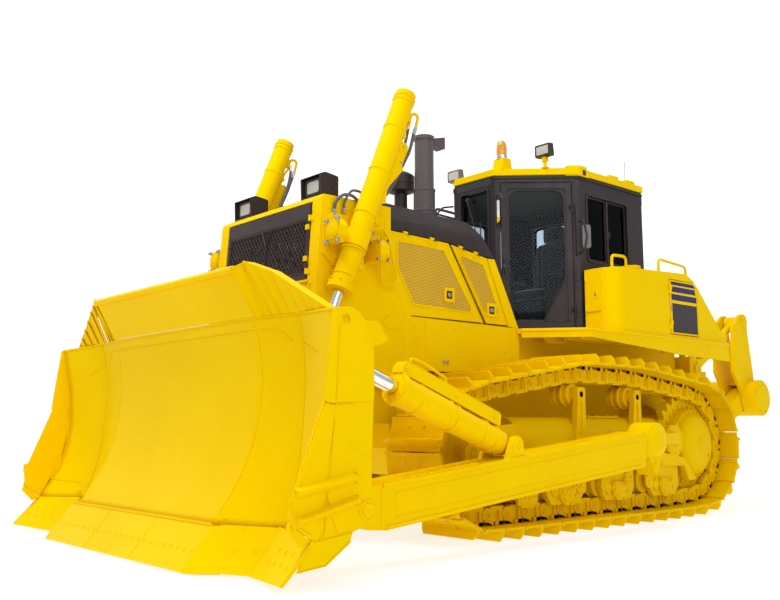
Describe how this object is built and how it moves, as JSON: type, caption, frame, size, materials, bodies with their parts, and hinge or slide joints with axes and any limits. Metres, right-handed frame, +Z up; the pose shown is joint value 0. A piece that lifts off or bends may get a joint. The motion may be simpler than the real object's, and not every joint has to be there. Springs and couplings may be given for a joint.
{
  "type": "crawler bulldozer",
  "caption": "Crawler bulldozer with a wide winged front blade, hexagonal glazed cab, two crawler tracks and a parallel-linkage ripper at the rear.",
  "frame": {"origin": "on the ground under the middle of the machine's bounding box", "axes": "+X forward towards the blade, +Y to the operator's left, +Z up"},
  "size_m": [8.016, 4.192, 3.722],
  "materials": {
    "yellow_paint": "gloss",
    "dark_paint": "satin",
    "black_trim": "matte",
    "glass": "tinted",
    "chrome": "polished",
    "steel": "worn",
    "seat": "woven",
    "lamp": "clear",
    "amber": "clear",
    "track_paint": "satin",
    "core": "matte"
  },
  "bodies": {
    "hull": {"left_track": "track_paint", "right_track": "track_paint", "sprockets": "track_paint", "idlers": "track_paint", "track_rollers": "track_paint", "track_frames": "yellow_paint", "main_frame": "yellow_paint", "front_frame": "yellow_paint", "cross_members": "yellow_paint", "engine_block": "yellow_paint", "radiator_guard": "yellow_paint", "radiator_core": "core", "hood_top": "dark_paint", "hood_frame": "yellow_paint", "exhaust_stack": "dark_paint", "air_precleaner": "dark_paint", "headlights": "dark_paint", "deck": "yellow_paint", "left_tank": "yellow_paint", "right_tank": "yellow_paint", "rear_tank": "yellow_paint", "cab_frame": "dark_paint", "cab_roof": "yellow_paint", "cab_glass": "glass", "operator_seat": "seat", "cab_console": "black_trim", "beacon": "amber", "work_lights": "dark_paint", "cab_air_conditioner": "dark_paint", "handrails": "yellow_paint", "ripper_bracket": "yellow_paint"},
    "push_frame": {"push_arms": "yellow_paint"},
    "blade": {"moldboard": "yellow_paint", "blade_end_plates": "yellow_paint", "cutting_edges": "yellow_paint", "spill_guard": "yellow_paint"},
    "lift_cylinders": {"lift_barrels": "yellow_paint"},
    "lift_pistons": {"lift_rods": "chrome"},
    "pitch_cylinders": {"pitch_barrels": "yellow_paint"},
    "pitch_pistons": {"pitch_rods": "chrome"},
    "ripper_links": {"ripper_arm": "yellow_paint"},
    "ripper_toolbar": {"ripper_beam": "yellow_paint", "ripper_shanks": "yellow_paint"},
    "ripper_tilt": {"ripper_tilt_cylinders": "yellow_paint"},
    "ripper_cylinders": {"ripper_lift_barrels": "yellow_paint"},
    "ripper_pistons": {"ripper_lift_rods": "chrome"},
    "cab_door_left": {"left_cab_door": "dark_paint", "left_cab_door_glass": "glass"},
    "cab_door_right": {"right_cab_door": "dark_paint", "right_cab_door_glass": "glass"},
    "engine_door_front_left": {"left_front_engine_door": "yellow_paint"},
    "engine_door_front_right": {"right_front_engine_door": "yellow_paint"},
    "engine_door_rear_left": {"left_rear_engine_door": "yellow_paint"},
    "engine_door_rear_right": {"right_rear_engine_door": "yellow_paint"},
    "grille": {"grille_door": "dark_paint"},
    "tank_door": {"left_tank_door": "yellow_paint"}
  },
  "joints": [
    {"name": "blade_lift", "type": "hinge", "parent": "hull", "child": "push_frame", "pos_m": [-0.186, 0, 0.756], "axis": [0, -1, 0], "range_deg": [-8, 18]},
    {"name": "blade_pitch", "type": "hinge", "parent": "push_frame", "child": "blade", "pos_m": [3.316, 0, 0.405], "axis": [0, 1, 0], "range_deg": [-5, 5]},
    {"name": "lift_cylinder_swing", "type": "hinge", "parent": "hull", "child": "lift_cylinders", "pos_m": [2.5, 0, 2.281], "axis": [0, 1, 0], "range_deg": [-16.07, 7.47]},
    {"name": "lift_rod_slide", "type": "slide", "parent": "lift_cylinders", "child": "lift_pistons", "axis": [0.369, 0, -0.9294], "range_m": [-0.9717, 0.4374]},
    {"name": "pitch_cylinder_swing", "type": "hinge", "parent": "push_frame", "child": "pitch_cylinders", "pos_m": [1.692, 0, 0.736], "axis": [0, 1, 0], "range_deg": [-1.35, 1.35]},
    {"name": "pitch_rod_slide", "type": "slide", "parent": "pitch_cylinders", "child": "pitch_pistons", "axis": [0.9358, 0, 0.3525], "range_m": [-0.087, 0.087]},
    {"name": "ripper_lift", "type": "hinge", "parent": "hull", "child": "ripper_links", "pos_m": [-2.568, 0, 0.62], "axis": [0, 1, 0], "range_deg": [-42, 3]},
    {"name": "ripper_toolbar_pivot", "type": "hinge", "parent": "ripper_links", "child": "ripper_toolbar", "pos_m": [-3.648, 0, 1.23], "axis": [0, 1, 0], "range_deg": [-3.6, 42.6]},
    {"name": "ripper_tilt_swing", "type": "hinge", "parent": "hull", "child": "ripper_tilt", "pos_m": [-2.508, 0, 1.5], "axis": [0, 1, 0], "range_deg": [-42.6, 3.6]},
    {"name": "ripper_cylinder_swing", "type": "hinge", "parent": "hull", "child": "ripper_cylinders", "pos_m": [-2.548, 0, 1.4], "axis": [0, 1, 0], "range_deg": [-22.68, 2.18]},
    {"name": "ripper_rod_slide", "type": "slide", "parent": "ripper_cylinders", "child": "ripper_pistons", "axis": [-0.845, 0, -0.5348], "range_m": [-0.0391, 0.4179]},
    {"name": "left_cab_door_hinge", "type": "hinge", "parent": "hull", "child": "cab_door_left", "pos_m": [-0.25975, 0.81259, 2.5], "axis": [0, 0, 1], "range_deg": [0, 100]},
    {"name": "left_front_engine_door_hinge", "type": "hinge", "parent": "hull", "child": "engine_door_front_left", "pos_m": [1.682, 0.712, 2.4545], "axis": [0.9995, 0, 0.0323], "range_deg": [0, 80]},
    {"name": "left_rear_engine_door_hinge", "type": "hinge", "parent": "hull", "child": "engine_door_rear_left", "pos_m": [1.092, 0.712, 2.406], "axis": [0.9891, 0, 0.1474], "range_deg": [0, 80]},
    {"name": "right_cab_door_hinge", "type": "hinge", "parent": "hull", "child": "cab_door_right", "pos_m": [-0.25975, -0.81259, 2.5], "axis": [0, 0, -1], "range_deg": [0, 100]},
    {"name": "right_front_engine_door_hinge", "type": "hinge", "parent": "hull", "child": "engine_door_front_right", "pos_m": [1.682, -0.712, 2.4545], "axis": [-0.9995, 0, -0.0323], "range_deg": [0, 80]},
    {"name": "right_rear_engine_door_hinge", "type": "hinge", "parent": "hull", "child": "engine_door_rear_right", "pos_m": [1.092, -0.712, 2.406], "axis": [-0.9891, 0, -0.1474], "range_deg": [0, 80]},
    {"name": "grille_hinge", "type": "hinge", "parent": "hull", "child": "grille", "pos_m": [2.7625, 0.612, 2.29], "axis": [0.0703, 0, -0.9975], "range_deg": [-88, 0]},
    {"name": "tank_door_hinge", "type": "hinge", "parent": "hull", "child": "tank_door", "pos_m": [-1.264, 1.233, 2.06], "axis": [0, 0, -1], "range_deg": [0, 100]}
  ],
  "couplings": [
    {"joint": "lift_cylinder_swing", "follows": "blade_lift", "ratio": -0.85931},
    {"joint": "lift_rod_slide", "follows": "blade_lift", "m_per_rad": -3.0611},
    {"joint": "pitch_cylinder_swing", "follows": "blade_pitch", "ratio": 0.15012},
    {"joint": "pitch_rod_slide", "follows": "blade_pitch", "m_per_rad": 0.88186},
    {"joint": "ripper_toolbar_pivot", "follows": "ripper_lift", "ratio": -1},
    {"joint": "ripper_tilt_swing", "follows": "ripper_lift", "ratio": 1},
    {"joint": "ripper_cylinder_swing", "follows": "ripper_lift", "ratio": 0.52561},
    {"joint": "ripper_rod_slide", "follows": "ripper_lift", "m_per_rad": -0.55641}
  ]
}
